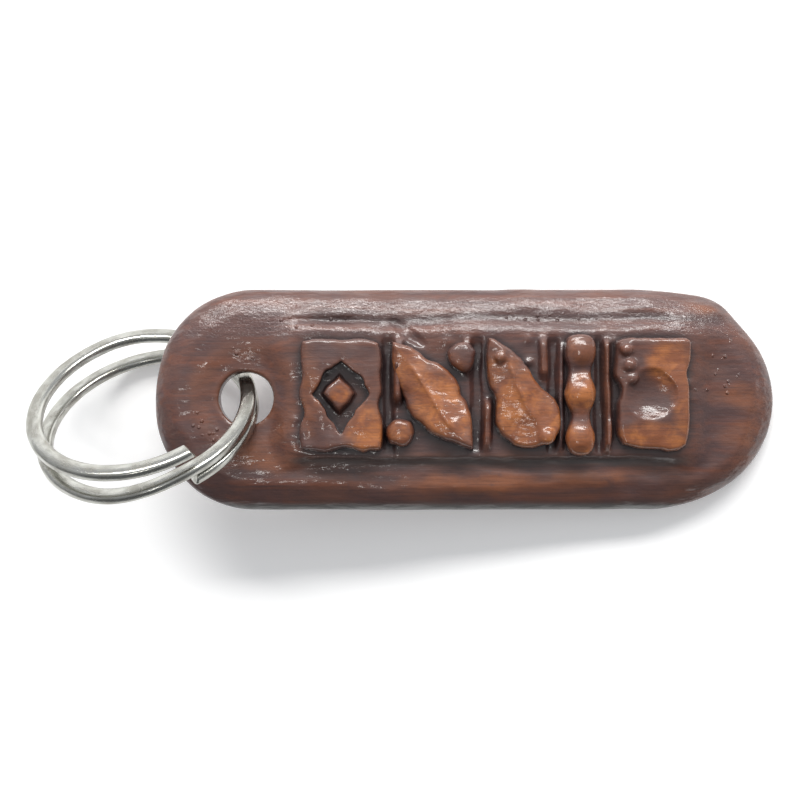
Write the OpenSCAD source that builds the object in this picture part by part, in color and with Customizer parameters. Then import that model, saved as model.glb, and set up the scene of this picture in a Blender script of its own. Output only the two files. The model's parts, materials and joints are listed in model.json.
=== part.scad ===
// Carved wooden key tag on a flat-wire split ring.
// The tag is drawn flat, with its back on z = 0 and its long axis along x.
// It is then leaned by as_it_lies() to the way it rests: the end of the tag
// and the low side of the ring both touch the plane z = 0.

/* [Tag] */
// Length of the tag
tag_len = 70; // [68:0.5:76]
// Width of the tag
tag_w = 25.2; // [24:0.1:28]
// Thickness of the board that is left around the carving
board_t = 3.2; // [3.1:0.05:3.4]
// Length of the rounded part at the end with the hole
hole_end_len = 11.5; // [9:0.5:12]
// How square that end is: 2 is an ellipse
hole_end_power = 2.15; // [2:0.05:2.6]
// Length of the rounded part at the far end
plain_end_len = 15; // [12:0.5:17]
// How square the far end is: 2 is an ellipse
plain_end_power = 2.1; // [2:0.05:2.4]

/* [Hole] */
// Diameter of the drilled hole
hole_d = 6.1; // [6.1:0.05:6.4]
// Distance from the end of the tag to the hole's centre
hole_from_end = 10.5; // [10.3:0.1:10.8]
// Radius of the hollow worn around the hole at the front
front_hollow_r = 4.4; // [4.2:0.1:4.6]
// Radius of the hollow worn around the hole at the back
back_hollow_r = 6.4; // [6.3:0.1:7]
// Depth of each hollow
hollow_depth = 0.35; // [0.3:0.05:0.45]
// Chamfer that breaks the hole's two edges
hole_chamfer = 0.45; // [0.4:0.05:0.6]

/* [Relief] */
// Height of the raised panel over the board
panel_h = 0.9; // [0.6:0.1:1.4]
// Height of the carved blocks over the panel
block_h = 2.2; // [1.4:0.1:3]
// Length of the raised panel at its top
panel_len = 45.4; // [44.5:0.2:47]
// Width of the raised panel at its top
panel_w = 13.4; // [13:0.2:15]
// Height of the row of blocks, across the tag
block_w = 12.2; // [11.6:0.2:12.8]

/* [Ring] */
// Outside diameter of the split ring
ring_od = 25.4; // [24.8:0.1:25.8]
// Width of the flat wire, along the ring's radius
wire_w = 1.8; // [1.6:0.05:1.85]
// Thickness of the flat wire, along the ring's axis
wire_t = 1.15; // [1:0.05:1.15]
// Free gap between the two turns where they are sprung apart
spring_gap = 2.4; // [1.8:0.1:2.6]
// Angle between the ring's plane and the tag
ring_tilt = 46.5; // [46:0.5:50]

/* [Hidden] */
$fn = 64;
stained_brown = [0.36, 0.19, 0.12];
amber_brown = [0.62, 0.35, 0.14];
nickel = [0.76, 0.76, 0.74];
panel_brown = [0.31, 0.17, 0.12];

// --- tag ---
hole_x = -tag_len / 2 + hole_from_end;
// Each entry is the height where a layer of the board starts and how far it is drawn in,
// which rounds the board's edge in steps.
edge_steps = [[0, 0.9], [0.35, 0.35], [0.8, 0]];
side_points = 14;
panel_x = 2.8;
panel_y = 0.4;
panel_slope = 0.7;
panel_corner = 2.5;
panel_top = board_t + panel_h;
block_y = 0.3;

// --- ring: where it passes through the tag, in the tag's own frame ---
ring_r = ring_od / 2;
// How far the ring's outer edge would reach past the hole's centre if it lay flat
ring_past_hole = 1.5;
// Direction that the ring's low side faces, seen from above
ring_heading = 101;
ring_centre = [hole_x + ring_past_hole - ring_r, -2.6, 1.15];
ring_normal = [sin(ring_tilt) * cos(ring_heading), sin(ring_tilt) * sin(ring_heading), cos(ring_tilt)];
ring_level = [sin(ring_heading), -cos(ring_heading), 0];
ring_slope = cross(ring_normal, ring_level);
wire_bevel = 0.25;
// Distance along the ring's axis from one turn to the next where they touch
turn_pitch = wire_t + 0.1;
// The wire is followed by its own angle: 0 at the sprung end, 360 for each turn.
sprung_end_at = 300;
flex_at = 180;
// The turns touch from this angle on, and come together over the angle before it.
contact_at = 290;
spread_over = 100;
// The wire stays level for a turn, then steps down by one turn's thickness.
step_at = 362;
step_over = 60;
// Its other end stops under the start of that step.
wire_end = step_at + 363;
wire_step = 5;

function smooth(x) = let (c = min(max(x, 0), 1)) c * c * (3 - 2 * c);

// Height of the wire's middle over the lower turn
function wire_rise(s) =
    turn_pitch * (1 - smooth((s - step_at) / step_over))
    + spring_gap * smooth((contact_at - s) / spread_over);

// A point of the wire, at a radius and a height counted from the wire's outer middle
function wire_point(s, inward, up) =
    let (a = sprung_end_at - s)
    ring_centre
    + (ring_r - inward) * (cos(a) * ring_level + sin(a) * ring_slope)
    + (wire_rise(s) + up) * ring_normal;

// The wire's cross-section: a flat bar with broken corners
wire_section = [
    [0, wire_t / 2 - wire_bevel],
    [wire_bevel, wire_t / 2],
    [wire_w - wire_bevel, wire_t / 2],
    [wire_w, wire_t / 2 - wire_bevel],
    [wire_w, wire_bevel - wire_t / 2],
    [wire_w - wire_bevel, -wire_t / 2],
    [wire_bevel, -wire_t / 2],
    [0, wire_bevel - wire_t / 2]
];

// --- lean: the tag is turned about y until the ring's low side is level with its heel ---
ring_cloud = [for (s = [0 : wire_step : wire_end], p = wire_section) wire_point(s, p[0], p[1])];
heel_x = tag_len / 2 - edge_steps[0][1];
lean = max([for (p = ring_cloud) atan(-p[2] / (heel_x - p[0]))]);
lift = heel_x * sin(lean);
far_left = min([for (p = ring_cloud) p[0] * cos(lean) + p[2] * sin(lean)]);
far_right = tag_len / 2 * cos(lean) + (board_t - edge_steps[2][0]) * sin(lean);
shift_x = -(far_left + far_right) / 2;

// Half of one end's outline, from one angle to another, as part of a superellipse
function end_arc(inset, from, to, end_len, end_power) =
    let (a = end_len - inset, b = tag_w / 2 - inset, k = 2 / end_power)
    [for (i = [0 : side_points])
        let (u = from + (to - from) * i / side_points, c = cos(u), s = sin(u))
        [sign(c) * (tag_len / 2 - end_len + a * pow(abs(c), k)), sign(s) * b * pow(abs(s), k)]];

function tag_outline(inset) = concat(
    end_arc(inset, -89.9, 0, plain_end_len, plain_end_power),
    end_arc(inset, 6, 89.9, plain_end_len, plain_end_power),
    end_arc(inset, 90.1, 180, hole_end_len, hole_end_power),
    end_arc(inset, 186, 269.9, hole_end_len, hole_end_power));

module as_it_lies() {
    translate([shift_x, 0, lift])
        rotate([0, lean, 0])
            children();
}

module tag_layer(z, height, inset) {
    translate([0, 0, z])
        linear_extrude(height)
            polygon(tag_outline(inset));
}

module hole_cutter() {
    throat = hole_d / 2;
    translate([hole_x, 0, 0]) {
        translate([0, 0, -1])
            cylinder(r = throat, h = board_t + 2);
        translate([0, 0, -1])
            cylinder(r = back_hollow_r, h = hollow_depth + 1);
        translate([0, 0, board_t - hollow_depth])
            cylinder(r = front_hollow_r, h = hollow_depth + 1);
        translate([0, 0, hollow_depth])
            cylinder(r1 = throat + hole_chamfer, r2 = throat, h = hole_chamfer);
        translate([0, 0, board_t - hollow_depth - hole_chamfer])
            cylinder(r1 = throat, r2 = throat + hole_chamfer, h = hole_chamfer);
    }
}

module tag_board() {
    color(stained_brown)
        as_it_lies()
            difference() {
                union() {
                    for (step = edge_steps)
                        tag_layer(step[0], board_t - 2 * step[0], step[1]);
                }
                hole_cutter();
            }
}

module rounded_slab(length, width, height, corner) {
    linear_extrude(height)
        union() {
            square([length - 2 * corner, width], center = true);
            square([length, width - 2 * corner], center = true);
            for (x = [-1, 1], y = [-1, 1])
                translate([x * (length / 2 - corner), y * (width / 2 - corner)])
                    circle(corner);
        }
}

module relief_panel() {
    color(panel_brown)
        as_it_lies()
            translate([panel_x, panel_y, board_t])
                for (step = [0, 0.5, 1])
                    rounded_slab(panel_len + 2 * panel_slope * (1 - step),
                                 panel_w + 2 * panel_slope * (1 - step),
                                 panel_h * (step + 1) / 2,
                                 panel_corner);
}

// Stands a block's outline on the panel, at a place along the tag
module on_panel(x, y = block_y) {
    as_it_lies()
        translate([x, y, panel_top])
            children();
}

// A pointed oval, made where two equal circles cross
module pointed_oval(length, width) {
    r = (length * length + width * width) / (4 * width);
    intersection() {
        translate([0, width / 2 - r])
            circle(r, $fn = 96);
        translate([0, r - width / 2])
            circle(r, $fn = 96);
    }
}

module relief_diamond_tile() {
    tile_l = 9;
    pocket_l = 5.8;
    pocket_w = 8.4;
    boss_r = 1.3;
    color(amber_brown)
        on_panel(-13.7) {
            difference() {
                linear_extrude(block_h)
                    square([tile_l, block_w], center = true);
                translate([0, 0, 0.4])
                    linear_extrude(block_h)
                        polygon([[pocket_l / 2, 0], [0, pocket_w / 2], [-pocket_l / 2, 0], [0, -pocket_w / 2]]);
            }
            translate([0, 0, 0.2])
                cylinder(r = boss_r, h = block_h - 0.4);
        }
}

module relief_leaf() {
    bud_r = 1.5;
    color(amber_brown)
        on_panel(-3.6) {
            rotate([0, 0, -53])
                linear_extrude(block_h)
                    pointed_oval(14.2, 6);
            translate([-3.4, -4.2, 0])
                cylinder(r = bud_r, h = block_h * 0.6);
            translate([3.2, 4.3, 0])
                cylinder(r = bud_r, h = block_h * 0.6);
        }
}

module relief_drop() {
    drop_r = 3.5;
    color(amber_brown)
        on_panel(6.2)
            linear_extrude(block_h)
                union() {
                    translate([0.6, -2.4])
                        circle(drop_r);
                    translate([-1.1, 1.1])
                        rotate(-63)
                            pointed_oval(11, 4.6);
                }
}

module relief_spindle() {
    bar_w = 1.9;
    color(amber_brown)
        on_panel(12.6) {
            linear_extrude(block_h * 0.85)
                square([bar_w, block_w], center = true);
            for (bead = [[-4.8, 1.5], [0, 1.7], [4.8, 1.5]])
                translate([0, bead[0], 0])
                    cylinder(r = bead[1], h = block_h);
        }
}

module relief_dished_tile() {
    tile_l = 8;
    dish_r = 2.7;
    color(amber_brown)
        on_panel(20.6)
            difference() {
                linear_extrude(block_h)
                    square([tile_l, block_w], center = true);
                translate([-0.3, 0, block_h - 1.2])
                    cylinder(r = dish_r, h = block_h);
            }
}

// Flat wire swept from one angle of the wire to another
module wire(from, to) {
    rings = round((to - from) / wire_step);
    corners = len(wire_section);
    points = [for (i = [0 : rings], p = wire_section)
        wire_point(from + (to - from) * i / rings, p[0], p[1])];
    sides = [for (i = [0 : rings - 1], j = [0 : corners - 1])
        let (a = i * corners + j, b = i * corners + (j + 1) % corners)
        each [[a, a + corners, b], [b, a + corners, b + corners]]];
    start_cap = [for (j = [0 : corners - 1]) j];
    end_cap = [for (j = [corners - 1 : -1 : 0]) rings * corners + j];
    polyhedron(points, concat(sides, [start_cap, end_cap]), convexity = 8);
}

module split_ring_coil() {
    color(nickel)
        as_it_lies()
            wire(flex_at, wire_end);
}

module split_ring_free_end() {
    color(nickel)
        as_it_lies()
            wire(0, flex_at);
}

tag_board();
relief_panel();
relief_diamond_tile();
relief_leaf();
relief_drop();
relief_spindle();
relief_dished_tile();
split_ring_coil();
split_ring_free_end();
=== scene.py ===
import json
import math

import bpy
import numpy as np
from mathutils import Matrix, Vector


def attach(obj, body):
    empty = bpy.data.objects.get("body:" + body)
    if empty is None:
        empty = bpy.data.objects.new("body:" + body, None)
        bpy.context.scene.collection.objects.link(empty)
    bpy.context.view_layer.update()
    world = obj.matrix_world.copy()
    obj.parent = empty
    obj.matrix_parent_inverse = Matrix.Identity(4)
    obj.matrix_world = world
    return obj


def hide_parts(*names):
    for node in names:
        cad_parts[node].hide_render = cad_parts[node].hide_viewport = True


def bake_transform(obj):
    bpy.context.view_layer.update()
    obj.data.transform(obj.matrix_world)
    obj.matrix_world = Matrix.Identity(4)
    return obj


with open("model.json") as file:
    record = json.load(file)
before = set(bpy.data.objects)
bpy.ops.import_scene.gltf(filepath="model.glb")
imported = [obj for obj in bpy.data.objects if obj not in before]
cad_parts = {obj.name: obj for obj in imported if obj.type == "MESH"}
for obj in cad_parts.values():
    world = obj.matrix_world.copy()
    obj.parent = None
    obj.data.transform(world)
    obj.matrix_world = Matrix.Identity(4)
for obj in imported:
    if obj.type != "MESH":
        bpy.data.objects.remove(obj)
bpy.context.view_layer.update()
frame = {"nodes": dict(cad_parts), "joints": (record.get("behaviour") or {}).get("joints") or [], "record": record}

# A carved, stained and lacquered wooden key tag on a flat-wire split ring.
# Shapes are worked out in millimetres in the tag's own frame: its back on z = 0, its long
# axis along x. TAG_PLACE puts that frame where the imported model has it.

MM = 0.001
MOUNTS = {m["name"]: m for m in frame["record"]["mounts"]}
JOINTS = {j["name"]: j for j in frame["joints"]}

BACK = MOUNTS["back_face"]
LEAN = math.atan2(-BACK["axis"][0], -BACK["axis"][2])
TAG_PLACE = Matrix.Translation(BACK["pos_m"]) @ Matrix.Rotation(LEAN, 4, "Y") @ Matrix.Scale(MM, 4)
TAG_INVERSE = np.array(TAG_PLACE.inverted())


def tag_box(node):
    """The lowest and highest corners of a CAD node in the tag's own frame."""
    co = np.array([v.co for v in frame["nodes"][node].data.vertices])
    local = co @ TAG_INVERSE[:3, :3].T + TAG_INVERSE[:3, 3]
    return local.min(0), local.max(0)


# ---------------------------------------------------------------- sizes of the tag and the ring

# The tag's outline, its panel and the ring's place are read from the frame. The curves of
# the tag's ends (length and power of a superellipse), the hole and the wire repeat the
# part's own numbers.
BOARD_HIGH = tag_box("tag_board")[1]
PANEL_LOW, PANEL_HIGH = tag_box("relief_panel")
BOARD_T = BOARD_HIGH[2]
PANEL_TOP = PANEL_HIGH[2]
HALF_LEN = BOARD_HIGH[0]
HALF_W = BOARD_HIGH[1]
HOLE_END = (11.5, 2.15)
PLAIN_END = (15.0, 2.1)
HOLE_FROM_END = 10.5
HOLE_X = -HALF_LEN + HOLE_FROM_END
HOLE_R = 3.05

RING_R = 12.7
WIRE_W = 1.8
WIRE_T = 1.15
TURN_GAP = 0.1
TURN_PITCH = WIRE_T + TURN_GAP
SPRING_GAP = 2.4
# Degrees: SPRUNG_END_AT is a place round the ring, and the others are places and lengths
# along the wire, from its sprung end.
SPRUNG_END_AT = 300
WIRE_END = 725
FLEX_AT = 180
CONTACT_AT = 290
SPREAD_OVER = 100
STEP_AT = 362
STEP_OVER = 60
RING_NORMAL = np.array(MOUNTS["key_loop"]["axis"])
RING_LEVEL = -np.array(JOINTS["ring_swing"]["axis"])
RING_SLOPE = np.cross(RING_NORMAL, RING_LEVEL)
RING_CENTRE = np.array(MOUNTS["key_loop"]["pos_m"]) / MM - RING_NORMAL * TURN_PITCH / 2


# ---------------------------------------------------------------- small maths

def smooth(x):
    c = np.clip(x, 0, 1)
    return c * c * (3 - 2 * c)


def rise(x, start, end):
    """0 before start, 1 after end, and smooth between them."""
    return smooth((x - start) / (end - start))


def soft_min(a, b, radius):
    """The lesser of a and b, rounded where they cross."""
    h = np.clip(0.5 + 0.5 * (b - a) / radius, 0, 1)
    return b * (1 - h) + a * h - radius * h * (1 - h)


def soft_max(a, b, radius):
    return -soft_min(-a, -b, radius)


def lattice(ix, iy, seed):
    """A fixed number from -1 to 1 for each whole-number place."""
    h = (ix * 374761393 + iy * 668265263 + seed * 1442695041) & 0xFFFFFFFF
    h = ((h ^ (h >> 13)) * 1274126177) & 0xFFFFFFFF
    return ((h ^ (h >> 16)) & 0xFFFF) / 32767.5 - 1


def waves(x, y, size, seed):
    """Smooth noise from -1 to 1 whose swells are about size across."""
    x, y = np.broadcast_arrays(x / size, y / size)
    ix, iy = np.floor(x).astype(np.int64), np.floor(y).astype(np.int64)
    fx, fy = smooth(x - ix), smooth(y - iy)
    near = lattice(ix, iy, seed) * (1 - fx) + lattice(ix + 1, iy, seed) * fx
    far = lattice(ix, iy + 1, seed) * (1 - fx) + lattice(ix + 1, iy + 1, seed) * fx
    return near * (1 - fy) + far * fy


def turned(x, y, centre, degrees):
    """Coordinates along and across a direction, from a centre."""
    c, s = math.cos(math.radians(degrees)), math.sin(math.radians(degrees))
    dx, dy = x - centre[0], y - centre[1]
    return dx * c + dy * s, dy * c - dx * s


# Each of these gives how far a point is inside a flat outline.

def in_box(x, y, half_x, half_y, corner):
    dx, dy = np.abs(x) - half_x + corner, np.abs(y) - half_y + corner
    outside = np.hypot(np.maximum(dx, 0), np.maximum(dy, 0))
    return corner - outside - np.minimum(np.maximum(dx, dy), 0)


def in_circle(x, y, centre, radius):
    return radius - np.hypot(x - centre[0], y - centre[1])


def in_oval(x, y, length, width):
    """A pointed oval, where two equal circles cross."""
    r = (length * length + width * width) / (4 * width)
    return r - np.hypot(x, np.abs(y) + r - width / 2)


def in_diamond(x, y, half_x, half_y):
    scale = math.hypot(1 / half_x, 1 / half_y)
    return (1 - np.abs(x) / half_x - np.abs(y) / half_y) / scale


# ---------------------------------------------------------------- solids from a field

def surface_nets(field, low, step):
    """The points and four-sided faces of the surface where field, positive inside, is zero."""
    strides = np.array([field.shape[1] * field.shape[2], field.shape[2], 1])
    faces, points = [], []
    for axis in range(3):
        count = field.shape[axis]
        near = field.take(np.arange(count - 1), axis)
        far = field.take(np.arange(1, count), axis)
        edge = np.argwhere((near > 0) != (far > 0))
        a, b = near[tuple(edge.T)], far[tuple(edge.T)]
        point = edge.astype(float)
        point[:, axis] += a / (a - b)
        u, v = np.eye(3, dtype=int)[[(axis + 1) % 3, (axis + 2) % 3]]
        face = np.stack([(edge - shift) @ strides for shift in (0 * u, u, u + v, v)], 1)
        face[a <= 0] = face[a <= 0][:, ::-1]
        faces.append(face)
        points.append(np.repeat(point, 4, 0))
    faces, points = np.concatenate(faces), np.concatenate(points)
    _, corner = np.unique(faces.ravel(), return_inverse=True)
    corner = corner.ravel()
    count = np.bincount(corner)
    middle = np.stack([np.bincount(corner, points[:, k]) / count for k in range(3)], 1)
    return np.array(low) + middle * step, corner.reshape(-1, 4)


def sculpt(low, high, step, field):
    """Samples a field over a box and returns its surface. field takes x, y and z arrays."""
    sides = [np.arange(a - 2 * step, b + 2.5 * step, step) for a, b in zip(low, high)]
    x, y, z = sides[0][:, None, None], sides[1][None, :, None], sides[2][None, None, :]
    return surface_nets(field(x, y, z), [s[0] for s in sides], step)


def mesh_object(name, points, faces, smooth_angle=None):
    mesh = bpy.data.meshes.new(name)
    mesh.from_pydata(points.tolist(), [], [list(f) for f in faces])
    mesh.validate()
    mesh.polygons.foreach_set("use_smooth", [True] * len(mesh.polygons))
    if smooth_angle is not None:
        mesh.set_sharp_from_angle(angle=smooth_angle)
    piece = bpy.data.objects.new(name, mesh)
    bpy.context.scene.collection.objects.link(piece)
    return piece


def to_world(points):
    place = np.array(TAG_PLACE)
    return points @ place[:3, :3].T + place[:3, 3]


def store(piece, **values):
    """Keeps a number for each point of the mesh. A material reads 0 where a mesh has none."""
    for name, value in values.items():
        made = piece.data.attributes.new(name, "FLOAT", "POINT")
        made.data.foreach_set("value", np.asarray(value, np.float32))


# ---------------------------------------------------------------- the carved board

# Above and below MIDDLE_Z the board's edge is a part of a superellipse, with this reach
# inwards and this power. FIELD_SCALE makes its field about a distance in millimetres.
EDGE_ROUND = 1.5
EDGE_POWER = 2.2
BACK_ROUND = 1.7
BACK_POWER = 2.6
MIDDLE_Z = 1.1
FIELD_SCALE = 1.5
HOLE_ROUND = 0.4
BEVEL_REACH = 2.75
BEVEL_SLOPE = 0.47
HOLLOW_DEPTH = 0.35
BOARD_STEP = 0.21
PANEL_MID = (PANEL_LOW + PANEL_HIGH) / 2
PANEL_HALF = (PANEL_HIGH - PANEL_LOW) / 2
PANEL_H = PANEL_TOP - BOARD_T


def end_depth(x, y, length, power):
    """How far a point is inside an outline whose ends, length long, are superellipses."""
    u = np.maximum(np.abs(x) - (HALF_LEN - length), 0) / length
    v = np.abs(y) / HALF_W
    g = np.maximum((u ** power + v ** power) ** (1 / power), 1e-3)
    slope = np.hypot(u ** (power - 1) / length, v ** (power - 1) / HALF_W)
    return (1 - g) / np.maximum(slope * g ** (1 - power), 1e-3)


def outline_depth(x, y):
    """How far a point is inside the tag's outline, which the knife left slightly wavy."""
    depth = np.where(x < 0, end_depth(x, y, *HOLE_END), end_depth(x, y, *PLAIN_END))
    wave = 0.09 * (1 + waves(x, y, 9.0, 3)) + 0.05 * (1 + waves(x, y, 3.1, 4))
    shoulder = np.exp(-((x - 28.0) / 3.2) ** 2 - ((y - 10.5) / 2.4) ** 2)
    return depth - wave + 0.75 * shoulder


def panel_height(x, y):
    """Height of the raised panel over the board, with its carved flanks."""
    dx, dy = x - PANEL_MID[0], y - PANEL_MID[1]
    inside = in_box(dx, dy, PANEL_HALF[0] - 0.3, PANEL_HALF[1] - 0.3, 2.4)
    inside = inside + 0.26 * waves(x, y, 4.2, 11) + 0.08 * waves(x, y, 1.4, 12)
    far_side = rise(dy, 3.0, 6.5)
    at_ends = rise(np.abs(dx), 19.5, 22.5)
    foot = -0.5 - 1.1 * far_side - 1.5 * at_ends
    top = 0.3 + 0.7 * at_ends
    return PANEL_H * smooth((inside - foot) / (top - foot))


# Where the slots are along the tag
SLOTS = (-8.45, 1.25, 9.75, 14.9)


def slot_depth(x, y):
    """Saw-cut slots across the panel, between the carved blocks."""
    depth = 0
    within = rise(y, -7.4, -4.6) * (1 - rise(y, 5.6, 7.4))
    for i, middle in enumerate(SLOTS):
        wander = 0.12 * waves(y, 0 * x, 3.0, 20 + i)
        half = 0.55 + 0.12 * waves(y, 0 * x, 2.0, 30 + i)
        depth = depth + (1 - rise(np.abs(x - middle - wander), half * 0.6, half * 1.5))
    return 0.45 * depth * within


# Narrow ribs left standing between the cuts. Each has its middle along the tag, half its
# width, its height, and where it starts and ends across the tag.
RIBS = ((-7.55, 0.5, 1.5, -0.5, 6.2), (0.35, 0.4, 0.7, 2.6, 6.4), (2.25, 0.45, 1.2, -5.6, -0.5),
        (8.7, 0.5, 1.2, 2.4, 6.4), (10.55, 0.35, 0.9, -5.6, 5.8), (15.75, 0.4, 1.3, -5.8, 6.2))
# How far a rib's end fades each way, and the room kept for ribs above the panel
RIB_END = 0.8
RIB_ROOM = 1.7


def rib_height(x, y):
    height = 0
    for i, (middle, half, rib_h, near, far) in enumerate(RIBS):
        wander = 0.2 * waves(y, 0 * x, 3.2, 130 + i)
        worn = 0.75 + 0.25 * waves(y, 0 * x, 1.7, 140 + i)
        across = 1 - rise(np.abs(x - middle - wander), half * 0.5, half * 1.5)
        within = rise(y, near - RIB_END, near + RIB_END) * (1 - rise(y, far - RIB_END, far + RIB_END))
        height = height + rib_h * worn * across * within
    return height


def saw_marks(x, y):
    """Close parallel cuts left in the low ground beside the leaf."""
    place = rise(x, -0.6, 0.0) * (1 - rise(x, 2.2, 2.8))
    place = place * rise(y, -3.0, -2.0) * (1 - rise(y, 5.6, 6.6))
    return 0.07 * place * np.sin(2 * math.pi * (x + 0.1 * waves(x, y, 2.5, 41)) / 0.52)


def gouge(x, y, centre, half_x, half_y, depth, degrees=0):
    u, v = turned(x, y, centre, degrees)
    return depth * np.maximum(1 - (u / half_x) ** 2 - (v / half_y) ** 2, 0)


# Each gouge has its middle, half its length, half its width, its depth and its direction.
GOUGES = (((-14.8, 8.7), 6.0, 0.6, 0.34), ((-6.4, 7.3), 2.9, 0.8, 0.42, -38),
          ((-15.0, -8.1), 7.5, 0.8, 0.12, 3), ((9.0, -7.9), 11.0, 0.7, 0.15, -1))
# Each drip of lacquer has its place, its width and its height.
DRIPS = ((7.1, 4.0, 0.6, 0.35), (6.9, 6.5, 0.7, 0.2), (16.5, 6.4, 0.6, 0.25), (-7.6, 3.6, 0.6, 0.3),
         (-2.0, 6.3, 0.9, 0.2), (24.9, 1.5, 0.8, 0.2), (-18.9, -2.4, 0.6, 0.2))


def top_height(x, y, depth):
    """Height of the carved face, blocks apart."""
    r = np.hypot(x - HOLE_X, y)
    z = BOARD_T - 0.02 + panel_height(x, y) - slot_depth(x, y)
    z = z + rib_height(x, y) - saw_marks(x, y)
    reach = BEVEL_REACH + 0.5 * waves(x, y, 7.0, 13) + 0.25 * waves(x, y, 2.3, 14)
    z = z - BEVEL_SLOPE * soft_max(reach - depth, 0, 0.5)
    for cx, cy, size, height in DRIPS:
        z = z + height * np.exp(-((x - cx) ** 2 + (y - cy) ** 2) / (size * size / 2))
    z = z - HOLLOW_DEPTH * (1 - rise(r, HOLE_R + 0.5, HOLE_R + 3.2))
    for cut in GOUGES:
        z = z - gouge(x, y, *cut)
    z = z - 0.06 * (1 + waves(x, y * 1.6, 6.5, 5)) - 0.03 * waves(x, y * 2.2, 2.6, 6)
    return z + 0.012 * waves(x * 0.3, y, 0.7, 7)


def back_height(x, y):
    r = np.hypot(x - HOLE_X, y)
    hollow = HOLLOW_DEPTH * (1 - rise(r, HOLE_R + 1.2, HOLE_R + 3.4))
    return hollow + 0.03 * (1 + waves(x, y * 1.8, 5.0, 8))


def board_field(x, y, z):
    x2, y2 = x[:, :, 0], y[:, :, 0]
    depth = outline_depth(x2, y2)[:, :, None]
    top = np.maximum(top_height(x2, y2, depth[:, :, 0]), MIDDLE_Z + 0.3)[:, :, None]
    back = back_height(x2, y2)[:, :, None]
    above = z > MIDDLE_Z
    across = np.where(above, (EDGE_ROUND - depth) / EDGE_ROUND, (BACK_ROUND - depth) / BACK_ROUND)
    across = np.maximum(across, 0)
    up = np.where(above, (z - MIDDLE_Z) / (top - MIDDLE_Z), (MIDDLE_Z - z) / (MIDDLE_Z - back))
    power = np.where(above, EDGE_POWER, BACK_POWER)
    body = FIELD_SCALE * (1 - (across ** power + up ** power) ** (1 / power))
    r = np.hypot(x - HOLE_X, y)
    wobble = 0.06 * waves(np.arctan2(y, x - HOLE_X) * 2, z * 0.4, 1.3, 9)
    return soft_min(body, r - HOLE_R - wobble, HOLE_ROUND)


# ---------------------------------------------------------------- the carved blocks

# A block reaches SUNK into the panel, and its walls slope by DRAFT of their height. A bead
# is a ball flattened by BEAD_FLAT.
BLOCK_STEP = 0.13
SUNK = 0.55
DRAFT = 0.15
BEAD_FLAT = 0.75
BLOCKS = ("relief_diamond_tile", "relief_leaf", "relief_drop", "relief_spindle", "relief_dished_tile")


def block_solid(inside, z, top, edge=0.5):
    """A block's field from how far a point is inside its outline, and its top's height."""
    wall = inside + DRAFT * (top - z)
    return np.minimum(soft_min(wall, top - z, edge), z + SUNK)


def worn_top(x, y, height, seed):
    return height - 0.20 * (1 + waves(x, y, 3.4, seed)) - 0.06 * (1 + waves(x, y, 1.2, seed + 1))


def bead(x, y, z, centre, radius):
    dx, dy, dz = x - centre[0], y - centre[1], (z - centre[2]) / BEAD_FLAT
    return radius - np.sqrt(dx * dx + dy * dy + dz * dz)


def wobbly(x, y, seed, amount=0.2):
    return amount * waves(x, y, 2.1, seed) + 0.4 * amount * waves(x, y, 0.8, seed + 1)


def crest(along, off, seed):
    """A thin broken bead of lacquer along a block's ridge."""
    broken = 0.6 + 0.5 * waves(along, 0 * along, 1.1, seed)
    within = rise(along, -4.5, -3.0) * (1 - rise(along, 3.6, 5.0))
    return 0.13 * broken * np.exp(-(off / 0.26) ** 2) * within


def chips(x, y, places):
    """How far a block's edge is cut back where the knife slipped."""
    cut = 0
    for cx, cy, size, depth in places:
        cut = cut + depth * np.exp(-((x - cx) ** 2 + (y - cy) ** 2) / (size * size))
    return cut


def diamond_tile(x, y, z, half, height):
    cut = chips(x, y, ((4.6, 6.3, 1.3, 0.8), (-4.6, -2.0, 1.0, 0.5),
                       (0.8, -6.3, 1.0, 0.35), (4.7, -1.2, 0.9, 0.7)))
    edge = wobbly(x, y, 50) - cut
    slant = 0.25 * rise(y, 1.0, 6.0) + 0.35 * rise(-x - 0.3 * y, 2.6, 5.0)
    top = worn_top(x, y, height, 52) - slant
    solid = block_solid(in_box(x, y, half[0], half[1], 0.5) + edge - 0.1, z, top)
    pocket = in_diamond(x, y, 2.9 + 0.15, 4.2 + 0.1) + wobbly(x, y, 55, 0.4)
    solid = soft_min(solid, soft_max(-pocket - 0.12 * (top - z), 0.35 - z, 0.25), 0.3)
    boss_in = in_diamond(x + 0.2, y - 0.1, 1.75, 1.9) + wobbly(x, y, 58, 0.25)
    boss = block_solid(boss_in, z, worn_top(x, y, height - 0.15, 59) - 0.25 * x, edge=0.4)
    return soft_max(solid, boss, 0.3)


def leaf(x, y, z, half, height):
    u, v = turned(x, y, (0, 0), -53)
    off_ridge = v + 0.3 + 0.25 * np.sin(u * 0.45)
    top = worn_top(x, y, height, 62) - 0.2 * np.abs(off_ridge) + 0.03 * u + crest(u, off_ridge, 63)
    cut = chips(x, y, ((-2.6, 0.6, 1.1, 0.6), (2.4, -0.4, 1.0, 0.6), (-0.4, 4.0, 0.9, 0.4)))
    solid = block_solid(in_oval(u, v, 14.2, 6.0) + wobbly(x, y, 60) - cut, z, top)
    for centre in ((-3.4, -4.2), (3.2, 4.3)):
        inside = in_circle(x, y, centre, 1.6) + wobbly(x, y, 65, 0.35)
        dome = 1.45 - 0.16 * ((x - centre[0]) ** 2 + 0.5 * (y - centre[1]) ** 2)
        solid = soft_max(solid, block_solid(inside, z, dome, edge=0.6), 0.9)
    return soft_max(solid, bead(x, y, z, (3.6, -5.0, 1.3), 0.75), 0.35)


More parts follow.
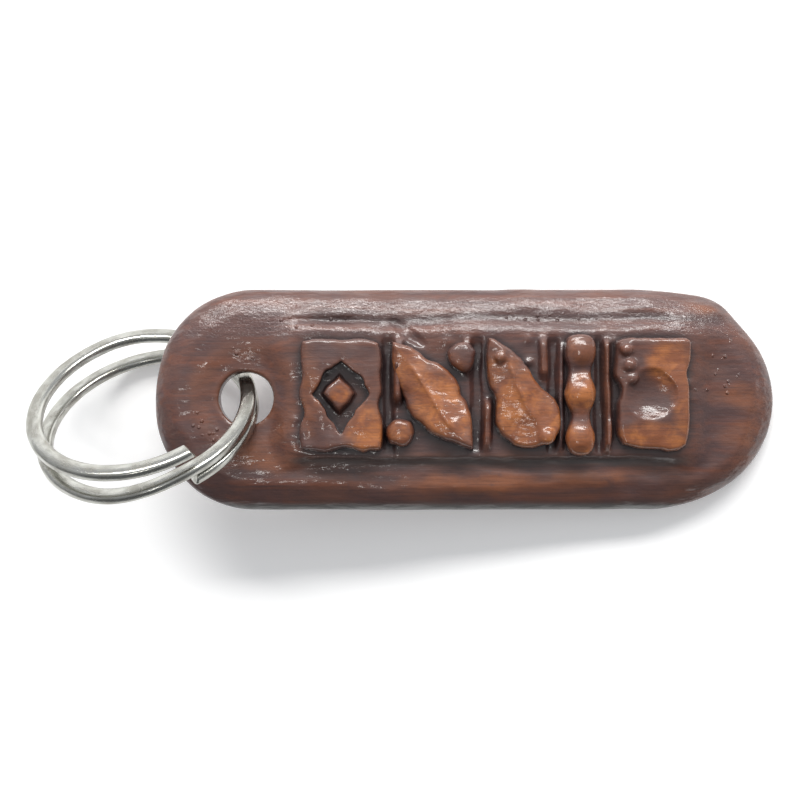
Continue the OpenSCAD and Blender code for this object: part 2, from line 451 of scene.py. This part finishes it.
def drop(x, y, z, half, height):
    u, v = turned(x, y, (-1.1, 1.1), -63)
    round_end = in_circle(x, y, (0.6, -2.4), 3.5)
    inside = soft_max(round_end, in_oval(u, v, 11.0, 4.6), 1.0) + wobbly(x, y, 70)
    off_ridge = v - 0.4 + 0.2 * np.sin(u * 0.6)
    top = worn_top(x, y, height, 72) - 0.17 * np.abs(off_ridge) + crest(u, off_ridge, 73)
    solid = block_solid(inside, z, top)
    solid = soft_max(solid, bead(x, y, z, (2.6, -4.7, 1.75), 0.85), 0.4)
    return soft_max(solid, bead(x, y, z, (-2.5, 4.0, 1.95), 0.6), 0.3)


def spindle(x, y, z, half, height):
    top = worn_top(x, y, height * 0.85, 82)
    half_bar = 0.95 + 0.25 * rise(y, -0.5, 2.5)
    solid = block_solid(in_box(x, y, half_bar, half[1], 0.4) + wobbly(x, y, 80, 0.2), z, top)
    for middle, radius in ((-4.8, 1.45), (0.1, 1.65), (4.8, 1.5)):
        shape = bead(x, y, z, (0.15 * middle / 4.8, middle, height - 1.05), radius)
        spread = in_circle(x, y, (0, middle), radius) - 0.15 + wobbly(x, y, 85, 0.25)
        post = block_solid(spread, z, height - 0.9)
        solid = soft_max(solid, soft_max(shape, post, 0.5), 0.9)
    return np.minimum(solid, z + SUNK)


def dished_tile(x, y, z, half, height):
    cut = chips(x, y, ((-4.2, -6.2, 1.6, 0.9), (4.2, -5.8, 1.0, 0.6),
                       (-4.2, 0.5, 1.0, 0.7), (4.2, 2.2, 0.9, 0.5)))
    edge = wobbly(x, y, 90) - cut
    top = worn_top(x, y, height, 92) - 0.06 * np.maximum(-x, 0) - 0.3 * rise(-y, 3.0, 6.5)
    solid = block_solid(in_box(x, y, half[0], half[1], 0.5) + edge - 0.1, z, top)
    r = np.hypot(x + 0.3, y)
    dish = height - 1.2 + 0.10 * r * r
    solid = soft_min(solid, soft_max(r - 2.75 - wobbly(x, y, 95, 0.15), dish - z, 0.3), 0.3)
    for centre, radius in (((-3.0, 4.9, 1.9), 0.6), ((-2.6, 3.2, 1.8), 0.65), ((-2.3, 1.7, 1.7), 0.5)):
        solid = soft_max(solid, bead(x, y, z, centre, radius), 0.6)
    return solid


FIELDS = dict(zip(BLOCKS, (diamond_tile, leaf, drop, spindle, dished_tile)))


def sculpt_block(node):
    """A block's surface in the tag's own frame: its points and its faces."""
    low, high = tag_box(node)
    middle, half = (low + high) / 2, (high - low) / 2
    height = high[2] - PANEL_TOP
    reach = half[:2] + 0.5

    def field(x, y, z):
        return FIELDS[node](x, y, z, half, height)

    start, stop = (-reach[0], -reach[1], -SUNK), (reach[0], reach[1], height + 0.4)
    points, faces = sculpt(start, stop, BLOCK_STEP, field)
    return points + (middle[0], middle[1], PANEL_TOP), faces


# ---------------------------------------------------------------- painted shade in hollows, and lighter ridges, from the carving's shape

MAP_STEP = 0.15
MAP_X = np.arange(-HALF_LEN - 1, HALF_LEN + 1, MAP_STEP)
MAP_Y = np.arange(-HALF_W - 1, HALF_W + 1, MAP_STEP)


def height_map(surfaces):
    """The highest point of the carving over each place, from all its surfaces together."""
    heights = np.full((len(MAP_X), len(MAP_Y)), -1.0)
    for points in surfaces:
        i = np.clip(np.rint((points[:, 0] - MAP_X[0]) / MAP_STEP).astype(int), 0, len(MAP_X) - 1)
        j = np.clip(np.rint((points[:, 1] - MAP_Y[0]) / MAP_STEP).astype(int), 0, len(MAP_Y) - 1)
        np.maximum.at(heights, (i, j), points[:, 2])
    # A place that no point fell on takes its highest neighbour's height.
    for _ in range(3):
        gap = heights < 0
        near = np.maximum.reduce([np.roll(heights, s, a) for s in (-1, 1) for a in (0, 1)])
        heights[gap] = near[gap]
    return np.maximum(heights, 0)


def blurred(values, radius):
    """Values averaged with a bell-shaped weight, first along one axis and then the other."""
    reach = int(3 * radius / MAP_STEP)
    weight = np.exp(-0.5 * (np.arange(-reach, reach + 1) * MAP_STEP / radius) ** 2)
    weight /= weight.sum()

    def blur_row(row):
        return np.convolve(np.pad(row, reach, "edge"), weight, "valid")

    for axis in (0, 1):
        values = np.apply_along_axis(blur_row, axis, values)
    return values


def sample(values, points):
    i = np.clip((points[:, 0] - MAP_X[0]) / MAP_STEP, 0, len(MAP_X) - 1.001)
    j = np.clip((points[:, 1] - MAP_Y[0]) / MAP_STEP, 0, len(MAP_Y) - 1.001)
    i0, j0 = i.astype(int), j.astype(int)
    fi, fj = i - i0, j - j0
    return ((values[i0, j0] * (1 - fi) + values[i0 + 1, j0] * fi) * (1 - fj)
            + (values[i0, j0 + 1] * (1 - fi) + values[i0 + 1, j0 + 1] * fi) * fj)


# ---------------------------------------------------------------- materials

class Graph:
    """A material's node tree, with one short call for each kind of node."""

    def __init__(self, name):
        self.material = bpy.data.materials.new(name)
        self.material.use_nodes = True
        self.tree = self.material.node_tree
        self.shader = self.tree.nodes["Principled BSDF"]

    def node(self, kind, inputs=(), **settings):
        made = self.tree.nodes.new(kind)
        for key, value in settings.items():
            setattr(made, key, value)
        for key, value in dict(inputs).items():
            self.feed(made.inputs[key], value)
        return made

    def feed(self, socket, value):
        if isinstance(value, bpy.types.NodeSocket):
            self.tree.links.new(value, socket)
        elif value is not None:
            socket.default_value = value

    def attribute(self, name):
        return self.node("ShaderNodeAttribute", attribute_name=name).outputs["Fac"]

    def noise(self, vector, scale, detail, roughness, distortion=0.0):
        made = self.node("ShaderNodeTexNoise", {
            "Vector": vector, "Scale": scale, "Detail": detail,
            "Roughness": roughness, "Distortion": distortion})
        return made.outputs["Fac"]

    def span(self, value, low, high, to_low=0.0, to_high=1.0):
        made = self.node("ShaderNodeMapRange", {
            "Value": value, "From Min": low, "From Max": high, "To Min": to_low, "To Max": to_high},
            interpolation_type="SMOOTHSTEP")
        return made.outputs["Result"]

    def times(self, a, b):
        made = self.node("ShaderNodeMath", operation="MULTIPLY")
        self.feed(made.inputs[0], a)
        self.feed(made.inputs[1], b)
        return made.outputs[0]

    def mix(self, share, a, b):
        """Two colours mixed. Sockets 6 and 7 are where a Mix node takes them."""
        made = self.node("ShaderNodeMix", data_type="RGBA")
        self.feed(made.inputs["Factor"], share)
        self.feed(made.inputs[6], a)
        self.feed(made.inputs[7], b)
        return made.outputs[2]

    def bump(self, height, distance, strength, normal=None):
        made = self.node("ShaderNodeBump", {
            "Height": height, "Distance": distance, "Strength": strength, "Normal": normal})
        return made.outputs["Normal"]

    def stretched(self, scale):
        """Object coordinates turned into the tag's frame, in millimetres, and stretched."""
        place = self.node("ShaderNodeTexCoord").outputs["Object"]
        turn = self.node("ShaderNodeMapping", {"Vector": place, "Rotation": (0, -LEAN, 0)})
        scale = tuple(s / MM for s in scale)
        return self.node("ShaderNodeMapping", {"Vector": turn.outputs[0], "Scale": scale}).outputs[0]


def colour(red, green, blue):
    """A colour given as it looks on a screen, from 0 to 255."""
    linear = [((c / 255 + 0.055) / 1.055) ** 2.4 if c > 10 else c / 255 / 12.92
              for c in (red, green, blue)]
    return (*linear, 1.0)


DARK = colour(44, 31, 32)
SHADOW = colour(74, 52, 50)
SHEEN_MAUVE = colour(104, 76, 74)
# A grey painted on the near side as a reflection and shade
REFLECTED_GREY = colour(98, 100, 98)
PLUM = colour(82, 54, 51)
BROWN = colour(98, 59, 46)
RUSSET = colour(128, 68, 40)
WORN = colour(138, 80, 46)
AMBER = colour(136, 75, 38)
HONEY = colour(176, 105, 50)
COAT_ROUGHNESS = 0.1


def wood(name):
    """Stained wood under a clear coat. Its grain and its fibres run along the tag. Its colour also carries painted
    shade, sheen and reflection, read from the mesh's attributes.
    """
    g = Graph(name)
    even = g.stretched((1, 1, 1))
    grain = g.stretched((0.06, 1, 1))
    fibre = g.stretched((0.12, 3.2, 3.2))
    amber, shade, patch = g.attribute("amber"), g.attribute("shade"), g.attribute("patch")
    ridge, wrinkle = g.attribute("ridge"), g.attribute("wrinkle")

    cloud = g.noise(even, 0.16, 4.0, 0.6, 0.4)
    streak = g.noise(grain, 0.9, 5.0, 0.6, 0.6)
    fine = g.noise(fibre, 1.6, 3.0, 0.6)
    base = g.mix(g.span(cloud, 0.36, 0.64), PLUM, BROWN)
    # Painted sheen: a paler mauve where the light falls on the far bevel.
    base = g.mix(g.times(wrinkle, 0.5), base, SHEEN_MAUVE)
    base = g.mix(g.times(g.span(streak, 0.46, 0.72), 0.45), base, RUSSET)
    base = g.mix(g.times(g.span(streak, 0.54, 0.32), 0.35), base, SHADOW)
    base = g.mix(g.times(patch, g.span(cloud, 0.3, 0.6, 0.4, 0.9)), base, WORN)
    glow = g.mix(g.span(g.noise(even, 0.5, 3.0, 0.6, 0.6), 0.38, 0.66), AMBER, HONEY)
    glow = g.mix(g.times(g.span(streak, 0.55, 0.35), 0.5), glow, RUSSET)
    base = g.mix(amber, base, glow)
    base = g.mix(g.times(ridge, 0.45), base, g.mix(amber, WORN, HONEY))
    base = g.mix(g.times(g.span(fine, 0.55, 0.3), 0.3), base, DARK)
    pool = g.span(g.noise(even, 0.35, 4.0, 0.6, 0.8), 0.58, 0.72)
    base = g.mix(g.times(pool, 0.45), base, SHADOW)
    # Painted shade: the shade attribute darkens hollows and the feet of walls towards DARK.
    base = g.mix(shade, base, DARK)
    # Painted reflection and shade: a grey tint on the near flank and on the panel's near wall.
    base = g.mix(g.attribute("dusk"), base, REFLECTED_GREY)
    g.feed(g.shader.inputs["Base Color"], base)

    pebble = g.noise(g.stretched((0.8, 1.3, 1.3)), 2.6, 3.0, 0.65, 0.5)
    pebble = g.times(pebble, g.span(wrinkle, 0.0, 1.0, 0.35, 1.15))
    lines = g.noise(fibre, 0.8, 2.0, 0.5)
    swell = g.noise(g.stretched((0.45, 1, 1)), 0.6, 2.0, 0.5)
    cell = g.node("ShaderNodeTexVoronoi", {"Vector": even, "Scale": 1.3})
    gather = g.span(g.attribute("speckle"), 0.2, 0.9)
    specks = g.times(g.span(cell.outputs["Distance"], 0.34, 0.1), gather)
    normal = g.bump(swell, 0.12 * MM, 0.8)
    normal = g.bump(lines, 0.04 * MM, 0.7, normal)
    normal = g.bump(pebble, 0.10 * MM, 0.8, normal)
    normal = g.bump(specks, 0.10 * MM, 1.0, normal)
    g.feed(g.shader.inputs["Normal"], normal)
    g.feed(g.shader.inputs["Roughness"], g.span(cloud, 0.3, 0.7, 0.42, 0.6))
    g.feed(g.shader.inputs["Specular IOR Level"], 0.5)
    g.feed(g.shader.inputs["Coat Weight"], 0.9)
    g.feed(g.shader.inputs["Coat Roughness"], COAT_ROUGHNESS)
    g.feed(g.shader.inputs["Coat IOR"], 1.5)
    coat = g.bump(pebble, 0.07 * MM, 0.9, g.bump(swell, 0.32 * MM, 1.0))
    g.feed(g.shader.inputs["Coat Normal"], g.bump(specks, 0.30 * MM, 1.0, coat))
    return g.material


def wire_metal():
    g = Graph("nickel_wire")
    place = g.node("ShaderNodeUVMap", uv_map="wire").outputs[0]
    drawn = g.node("ShaderNodeMapping", {"Vector": place, "Scale": (0.10, 9.0, 1)}).outputs[0]
    smear = g.node("ShaderNodeMapping", {"Vector": place, "Scale": (0.35, 1.2, 1)}).outputs[0]
    lines = g.noise(drawn, 1.0, 4.0, 0.65)
    cloud = g.noise(smear, 1.0, 3.0, 0.55)
    close = g.node("ShaderNodeMapping", {"Vector": place, "Scale": (2.2, 3.4, 1)}).outputs[0]
    nicks = g.noise(close, 1.0, 5.0, 0.7)
    base = g.mix(g.span(cloud, 0.35, 0.7), colour(196, 196, 190), colour(160, 158, 150))
    base = g.mix(g.times(g.span(lines, 0.6, 0.75), 0.35), base, colour(120, 116, 110))
    base = g.mix(g.times(g.span(nicks, 0.66, 0.74), 0.6), base, colour(90, 84, 78))
    g.feed(g.shader.inputs["Base Color"], base)
    g.feed(g.shader.inputs["Metallic"], 1.0)
    g.feed(g.shader.inputs["Roughness"], g.span(cloud, 0.3, 0.7, 0.16, 0.3))
    normal = g.bump(lines, 0.012 * MM, 0.6)
    g.feed(g.shader.inputs["Normal"], g.bump(nicks, 0.012 * MM, 0.5, normal))
    return g.material


# ---------------------------------------------------------------- the tag's pieces

# Where, across the tag, the valley beyond the panel and the panel's near wall are. The valley is painted darker as
# shade; the near wall is painted lighter and greyer as lit.
VALLEY_Y = 9.2
NEAR_WALL_Y = -6.95


def spot_mask(points, spots, ragged, seed, fade):
    """1 in soft ovals with ragged edges. fade is where an oval starts and stops to fade."""
    x, y = points[:, 0], points[:, 1]
    mask = 0
    for (cx, cy), rx, ry in spots:
        r = np.hypot((x - cx) / rx, (y - cy) / ry) + 0.35 * waves(x, y, ragged, seed)
        mask = np.maximum(mask, 1 - rise(r, *fade))
    return mask


def speckle_mask(points):
    """Where the lacquer has dried with little bubbles: by the hole and at the right-hand end."""
    spots = (((-28.6, -3.2), 2.2, 1.2), ((-26.8, -4.6), 1.8, 1.0), ((28.8, 3.0), 1.8, 4.0),
             ((-24.0, 5.2), 2.4, 0.9), ((-30.2, -1.2), 1.2, 0.8), ((26.6, 0.8), 1.2, 1.2),
             ((9.0, 9.0), 6.0, 0.8), ((-17.0, 8.6), 4.0, 0.9))
    return spot_mask(points, spots, 1.3, 121, (0.5, 1.2))


def patch_mask(points):
    """Where the stain is worn thin: places along the near edge and at the right-hand end."""
    spots = (((2, -9.6), 9.0, 1.1), ((30.5, -4.0), 3.0, 1.6), ((31.0, 0.4), 3.2, 1.7),
             ((-22.0, -7.0), 4.0, 1.6), ((14, -8.8), 4.0, 1.0), ((27.0, 10.6), 3.5, 1.2))
    return spot_mask(points, spots, 1.7, 101, (0.35, 1.3))


def lit_side(points):
    """1 on the wide bevel and flank along the far edge, where the lacquer dried wrinkled and the light falls: it
    roughens the coat there and paints a paler mauve sheen into the colour.
    """
    return rise(points[:, 1], 6.0, 8.0) * (1 - rise(points[:, 1], HALF_W - 1.2, HALF_W - 0.4))


def board_piece(points, faces, maps):
    piece = mesh_object("carved_board", to_world(points), faces)
    low_by = sample(maps["near"], points) - points[:, 2]
    wide = sample(maps["wide"], points) - points[:, 2]
    on_top = rise(points[:, 2], 1.8, 2.6)
    x, y = points[:, 0], points[:, 1]
    off_valley = y - VALLEY_Y - 0.35 * waves(x, 0 * y, 6.0, 151)
    valley = np.exp(-(off_valley / 0.6) ** 2) * rise(x, -20, -16)
    near_wall = np.exp(-((y - NEAR_WALL_Y) / 0.5) ** 2)
    near_wall = near_wall * (1 - rise(np.abs(x - PANEL_MID[0]), 20, 23))
    near_flank = rise(-y, HALF_W - 1.1, HALF_W - 0.5) * rise(-points[:, 2], -3.0, -1.8)
    # Painted shade: darker where the carving nearby stands higher and in the valley beyond the panel, lighter on
    # the panel's near wall.
    shade = np.clip(low_by / 0.7, 0, 1) * 0.7 + np.clip(wide / 1.2, 0, 1) * 0.3
    shade = shade * (1 - 0.6 * near_wall) + 0.55 * valley
    # The grey tint stored last is a painted reflection and shade on the near flank and on the panel's near wall.
    store(piece,
          shade=np.clip(shade * on_top, 0, 0.9),
          patch=patch_mask(points) * on_top,
          ridge=np.clip(-low_by / 0.35, 0, 1) * 0.7 * on_top,
          wrinkle=lit_side(points) * on_top,
          speckle=speckle_mask(points) * on_top,
          dusk=0.85 * near_flank + 0.5 * near_wall)
    return piece


# Where each block's stain is thin and amber: the middle and the reach of soft ovals, as
# shares of the block's half size, and how strong each is.
AMBER_PLACES = {
    "relief_diamond_tile": ((0.62, -0.72, 0.5, 0.42, 1.0), (-0.75, 0.1, 0.25, 0.7, 0.35),
                            (0, 0, 0.22, 0.16, 1.4)),
    "relief_leaf": ((0.15, -0.25, 0.8, 0.75, 1.0), (-0.6, 0.35, 0.5, 0.6, 0.8),
                    (-0.7, -0.75, 0.35, 0.3, 0.8)),
    "relief_drop": ((0.15, -0.35, 1.0, 0.75, 1.0), (-0.6, 0.4, 0.5, 0.4, 0.6)),
    "relief_spindle": ((0, 0, 1.3, 0.3, 1.0), (0, -0.8, 1.3, 0.28, 1.0), (0, 0.75, 1.0, 0.2, 0.5)),
    "relief_dished_tile": ((0.45, 0.55, 0.6, 0.45, 0.9), (0.0, -0.85, 1.1, 0.3, 0.9),
                           (0.8, -0.1, 0.3, 0.9, 0.7)),
}


def amber_mask(node, x, y, u, v):
    ragged = 0.3 * waves(x, y, 2.2, 111) + 0.15 * waves(x, y, 0.8, 112)
    mask = 0
    for cx, cy, rx, ry, strength in AMBER_PLACES[node]:
        r = np.hypot((u - cx) / rx, (v - cy) / ry) + ragged
        mask = np.maximum(mask, strength * (1 - rise(r, 0.5, 1.35)))
    return np.clip(mask, 0, 1)


def block_piece(node, points, faces, maps):
    piece = mesh_object(node.replace("relief_", "carved_"), to_world(points), faces)
    low, high = tag_box(node)
    middle, half = (low + high) / 2, (high - low) / 2
    u, v = (points[:, 0] - middle[0]) / half[0], (points[:, 1] - middle[1]) / half[1]
    height = (points[:, 2] - PANEL_TOP) / (high[2] - PANEL_TOP)
    amber = amber_mask(node, points[:, 0], points[:, 1], u, v) * rise(height, 0.05, 0.7)
    low_by = sample(maps["near"], points) - points[:, 2]
    # Painted shade: darker in hollows and towards a block's foot, less where the stain is amber.
    shade = np.clip(low_by / 0.9, 0, 1) * 0.85 + (1 - rise(height, -0.1, 0.5)) * 0.45
    shade = shade * (1 - 0.6 * amber * rise(height, 0.3, 0.7))
    store(piece,
          amber=amber,
          shade=np.clip(shade, 0, 0.95),
          ridge=np.clip(-low_by / 0.9, 0, 1) * rise(height, 0.5, 0.9))
    return piece


def make_tag():
    low, high = (-HALF_LEN, -HALF_W, -0.1), (HALF_LEN, HALF_W, PANEL_TOP + RIB_ROOM)
    board = sculpt(low, high, BOARD_STEP, board_field)
    blocks = {node: sculpt_block(node) for node in BLOCKS}
    heights = height_map([board[0], *[points for points, _ in blocks.values()]])
    maps = {"near": blurred(heights, 0.55), "wide": blurred(heights, 1.6)}

    stain = wood("stained_wood")
    piece = board_piece(*board, maps)
    piece.data.materials.append(stain)
    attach(piece, "tag")
    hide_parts("tag_board", "relief_panel")

    lacquer = wood("lacquered_wood")
    for node, (points, faces) in blocks.items():
        piece = block_piece(node, points, faces, maps)
        piece.data.materials.append(lacquer)
        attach(piece, "tag")
        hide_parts(node)


# ---------------------------------------------------------------- the split ring

SECTION_POINTS = 32
SECTION_POWER = 3.4
WIRE_STEP = 1.25
# A cut end slopes: its top lies back along the wire by END_SLOPE of its height, and the
# slope fades out over END_REACH degrees. END_ROWS are its rows of points: how many degrees
# each is from the tip, and its size as a share of the wire's.
END_SLOPE = 0.4
END_REACH = 5.0
END_ROWS = ((0.0, 0.80), (0.35, 0.93), (0.9, 1.0))
SHARP_ANGLE = math.radians(40)


def wire_rise(s):
    """Height of the wire's middle over the lower turn, at an angle along the wire."""
    return (TURN_PITCH * (1 - smooth((s - STEP_AT) / STEP_OVER))
            + SPRING_GAP * smooth((CONTACT_AT - s) / SPREAD_OVER))


def wire_section():
    """The flat wire's outline as distances inward and up, with its corners rounded."""
    turn = np.arange(SECTION_POINTS) / SECTION_POINTS * 2 * math.pi
    c, s = np.cos(turn), np.sin(turn)
    power = 2 / SECTION_POWER
    inward = WIRE_W / 2 * (1 - np.sign(c) * np.abs(c) ** power)
    return inward, WIRE_T / 2 * np.sign(s) * np.abs(s) ** power


def wire_point(s, inward, up):
    a = np.radians(SPRUNG_END_AT - s)
    flat = (RING_R - inward) * np.cos(a), (RING_R - inward) * np.sin(a)
    return (RING_CENTRE + np.multiply.outer(flat[0], RING_LEVEL) + np.multiply.outer(flat[1], RING_SLOPE)
            + np.multiply.outer(wire_rise(s) + up, RING_NORMAL))


def wire_stations(start, end, cut_start, cut_end):
    """Places along a piece of wire, each with its size as a share of the wire's."""
    count = round((end - start) / WIRE_STEP)
    stations = [(start + (end - start) * i / count, 1.0) for i in range(count + 1)]
    if cut_start:
        tip = [(start + s, size) for s, size in END_ROWS]
        stations = tip + [place for place in stations if place[0] > start + 1]
    if cut_end:
        tip = [(end - s, size) for s, size in reversed(END_ROWS)]
        stations = [place for place in stations if place[0] < end - 1] + tip
    return stations


def unroll(piece, along, inward):
    """Gives a wire a UV map in millimetres along it and around it, for its drawing lines."""
    n, m = SECTION_POINTS, len(along)
    around = np.arange(n + 1) * 2 * (WIRE_W + WIRE_T) / n
    places = [(along[a], around[b]) for i in range(m - 1) for j in range(n)
              for a, b in ((i, j), (i, j + 1), (i + 1, j + 1), (i + 1, j))]
    places += [(along[0], inward[j]) for j in range(n - 1, -1, -1)]
    places += [(along[-1], inward[j]) for j in range(n)]
    uv = piece.data.uv_layers.new(name="wire")
    uv.data.foreach_set("uv", np.array(places, np.float32).ravel())


def wire_piece(name, start, end, cut_start, cut_end):
    """Flat wire from one angle to another. A cut end slopes and its edge is broken."""
    inward, up = wire_section()
    stations = wire_stations(start, end, cut_start, cut_end)
    rows = []
    for s, size in stations:
        slope = 0.0
        if cut_start:
            slope += END_SLOPE * max(0, 1 - (s - start) / END_REACH)
        if cut_end:
            slope -= END_SLOPE * max(0, 1 - (end - s) / END_REACH)
        lean = np.degrees((up + WIRE_T / 2) * slope / RING_R)
        shrunk = WIRE_W / 2 + (inward - WIRE_W / 2) * size
        rows.append(wire_point(s + lean, shrunk, up * size))
    n, m = SECTION_POINTS, len(rows)
    faces = [(i * n + j, i * n + (j + 1) % n, (i + 1) * n + (j + 1) % n, (i + 1) * n + j)
             for i in range(m - 1) for j in range(n)]
    faces += [tuple(range(n - 1, -1, -1)), tuple((m - 1) * n + j for j in range(n))]
    piece = mesh_object(name, np.concatenate(rows) * MM, faces, SHARP_ANGLE)
    unroll(piece, [math.radians(s) * RING_R for s, _ in stations], inward)
    return piece


def make_ring():
    metal = wire_metal()
    coil = wire_piece("split_ring_wire", FLEX_AT, WIRE_END, False, True)
    free_end = wire_piece("split_ring_sprung_end", 0, FLEX_AT, True, False)
    for piece, node in ((coil, "split_ring_coil"), (free_end, "split_ring_free_end")):
        piece.data.materials.append(metal)
        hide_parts(node)
    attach(coil, "ring")
    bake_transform(free_end)


# ---------------------------------------------------------------- camera, light and floor

# The camera looks at VIEW_TARGET, a place in the tag's frame, from over the carved face. It
# stands VIEW_TILT degrees off the face's normal, to the near side. FOCAL_SHARE is its focal
# length as a share of the sensor's width.
VIEW_TARGET = (-7.23, -0.11, 1.5)
VIEW_TILT = 3.0
VIEW_DISTANCE = 140.0
FOCAL_SHARE = 1.55
SENSOR = 36.0
SKY_STRENGTH = 0.6
FLOOR_REACH = 0.6
FLOOR_GLOW = 0.2


def make_camera():
    data = bpy.data.cameras.new("camera")
    data.sensor_width = SENSOR
    data.lens = SENSOR * FOCAL_SHARE
    data.clip_start = 0.005
    camera = bpy.data.objects.new("camera", data)
    bpy.context.scene.collection.objects.link(camera)
    tilt = math.radians(VIEW_TILT)
    place = TAG_PLACE @ Vector(VIEW_TARGET)
    spin = TAG_PLACE.to_3x3().normalized()
    back = (spin @ Vector((0, -math.sin(tilt), math.cos(tilt)))).normalized()
    right = (spin @ Vector((1, 0, 0))).normalized()
    up = back.cross(right)
    turn = Matrix((right, up, back)).transposed().to_4x4()
    camera.matrix_world = Matrix.Translation(place + back * VIEW_DISTANCE * MM) @ turn
    bpy.context.scene.camera = camera


def area_light(name, place, size, power, tint):
    """An oval light that faces the frame's origin."""
    data = bpy.data.lights.new(name, "AREA")
    data.shape = "ELLIPSE"
    data.size, data.size_y = size
    data.energy = power
    data.color = tint
    light = bpy.data.objects.new(name, data)
    bpy.context.scene.collection.objects.link(light)
    light.location = place
    light.rotation_euler = (-Vector(place)).to_track_quat("-Z", "Y").to_euler()


def make_world():
    """Light from all round, dim from the near side and bright from the far side."""
    world = bpy.data.worlds.new("studio")
    bpy.context.scene.world = world
    world.use_nodes = True
    tree = world.node_tree
    place = tree.nodes.new("ShaderNodeTexCoord")
    split = tree.nodes.new("ShaderNodeSeparateXYZ")
    side = tree.nodes.new("ShaderNodeMapRange")
    shades = tree.nodes.new("ShaderNodeMix")
    shades.data_type = "RGBA"
    shades.inputs[6].default_value = (0.24, 0.25, 0.26, 1)
    shades.inputs[7].default_value = (0.86, 0.88, 0.92, 1)
    side.inputs["From Min"].default_value = -0.75
    side.inputs["From Max"].default_value = 0.35
    tree.links.new(place.outputs["Generated"], split.inputs[0])
    tree.links.new(split.outputs["Y"], side.inputs["Value"])
    tree.links.new(side.outputs["Result"], shades.inputs["Factor"])
    tree.links.new(shades.outputs[2], tree.nodes["Background"].inputs["Color"])
    tree.nodes["Background"].inputs["Strength"].default_value = SKY_STRENGTH


def make_floor():
    corners = np.array([(-1, -1, 0), (1, -1, 0), (1, 1, 0), (-1, 1, 0)]) * FLOOR_REACH
    floor = mesh_object("floor", corners, [(0, 1, 2, 3)])
    g = Graph("pale_floor")
    g.feed(g.shader.inputs["Base Color"], (0.97, 0.97, 0.97, 1))
    g.feed(g.shader.inputs["Roughness"], 0.7)
    g.feed(g.shader.inputs["Emission Color"], (1, 1, 1, 1))
    g.feed(g.shader.inputs["Emission Strength"], FLOOR_GLOW)
    floor.data.materials.append(g.material)


def make_stage():
    make_camera()
    make_world()
    make_floor()
    area_light("window", (0.03, 0.34, 0.28), size=(0.6, 0.10), power=2.5, tint=(1.0, 0.99, 0.97))
    area_light("lamp", (-0.03, -0.09, 0.38), size=(0.055, 0.045), power=0.09, tint=(1.0, 0.98, 0.95))
    bpy.context.scene.view_settings.view_transform = "Standard"


make_stage()
make_tag()
make_ring()
